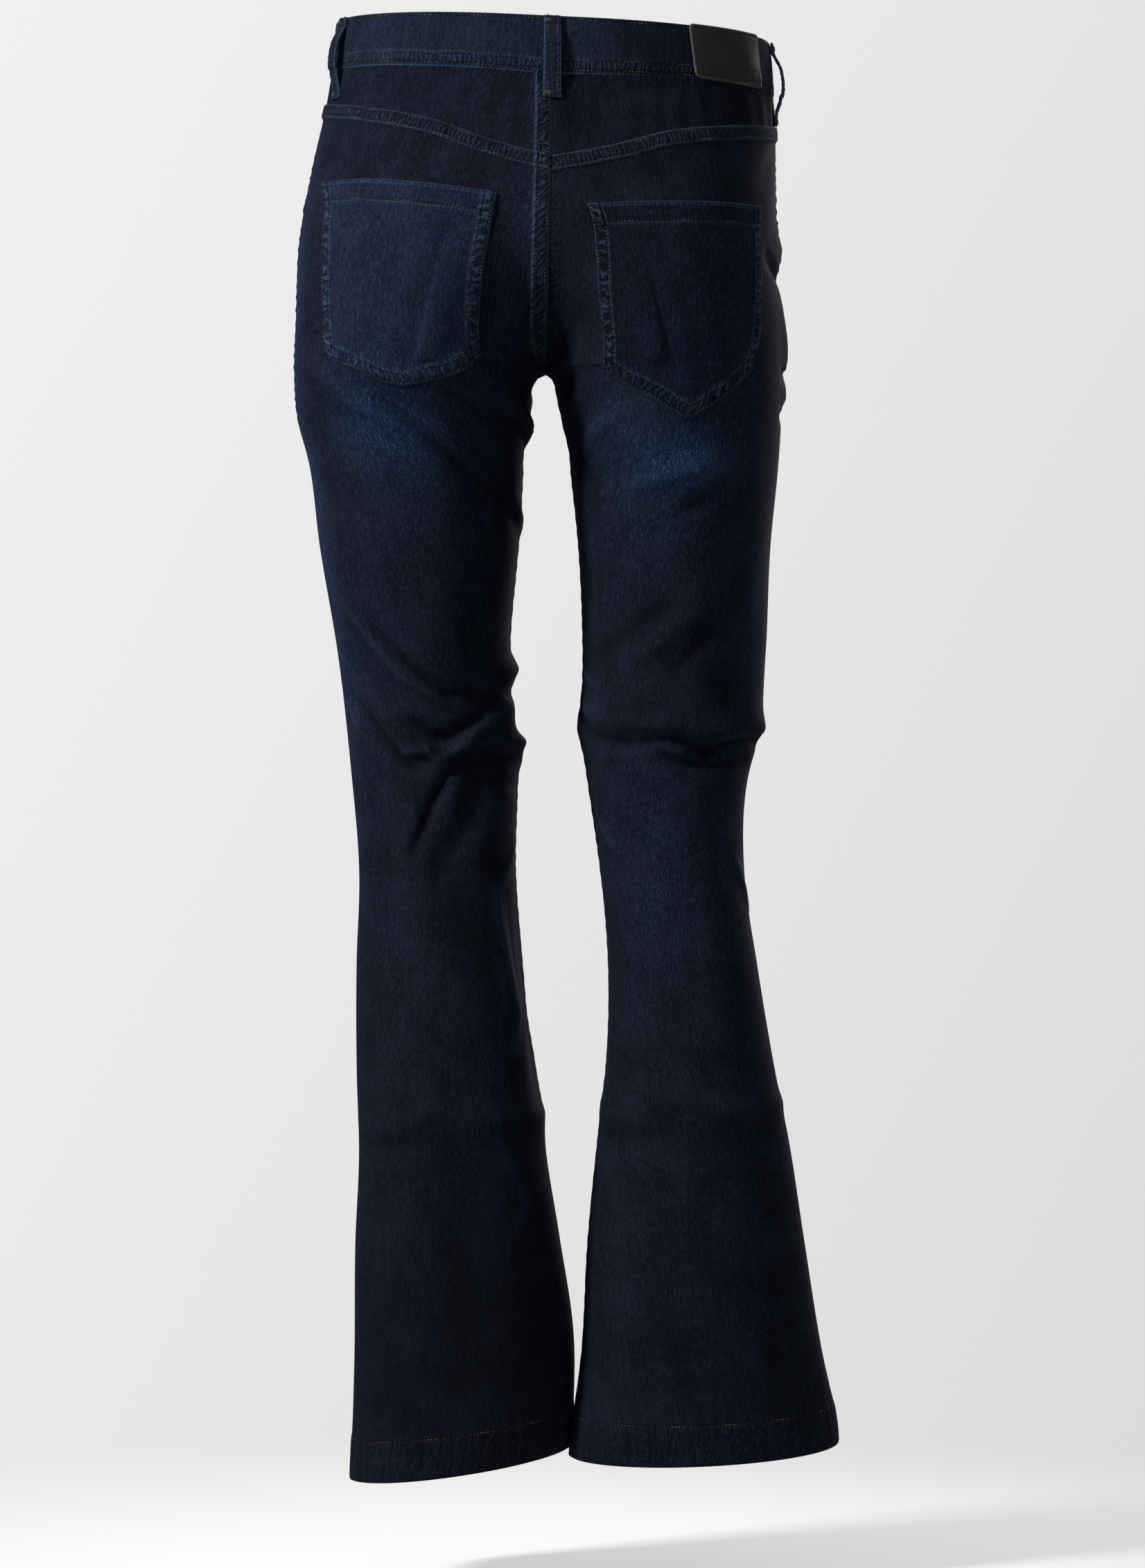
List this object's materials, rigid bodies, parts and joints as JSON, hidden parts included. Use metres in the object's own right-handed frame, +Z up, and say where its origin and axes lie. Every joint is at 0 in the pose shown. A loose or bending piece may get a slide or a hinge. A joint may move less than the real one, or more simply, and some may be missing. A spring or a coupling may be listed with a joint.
{
  "type": "bootcut jeans",
  "caption": "Dark denim bootcut jeans held in their worn shape, hollow, with a yoked back, patch pockets, belt loops and flared hems.",
  "frame": {"origin": "centre of the waist opening, at the waistband's top edge", "axes": "+Z up, the garment's front faces -Y, the wearer's left is +X"},
  "size_m": [0.3919, 0.2539, 1.0478],
  "materials": {
    "denim": "matte dark indigo denim",
    "dark_denim": "matte, less faded denim",
    "leather": "semi-matte dark leather",
    "metal": "aged, satin"
  },
  "bodies": {
    "root": {"waistband": "dark_denim", "yoke_left": "dark_denim", "yoke_right": "dark_denim", "back_left": "denim", "back_right": "denim", "front_left": "denim", "front_right": "denim", "pocket_facing_left": "dark_denim", "pocket_facing_right": "dark_denim", "back_pocket_left": "denim", "back_pocket_right": "denim", "belt_loop_back": "dark_denim", "belt_loop_side_left": "dark_denim", "belt_loop_side_right": "dark_denim", "belt_loop_front_left": "dark_denim", "belt_loop_front_right": "dark_denim", "patch": "leather", "fly_shield": "dark_denim", "waist_button": "metal"}
  },
  "joints": []
}
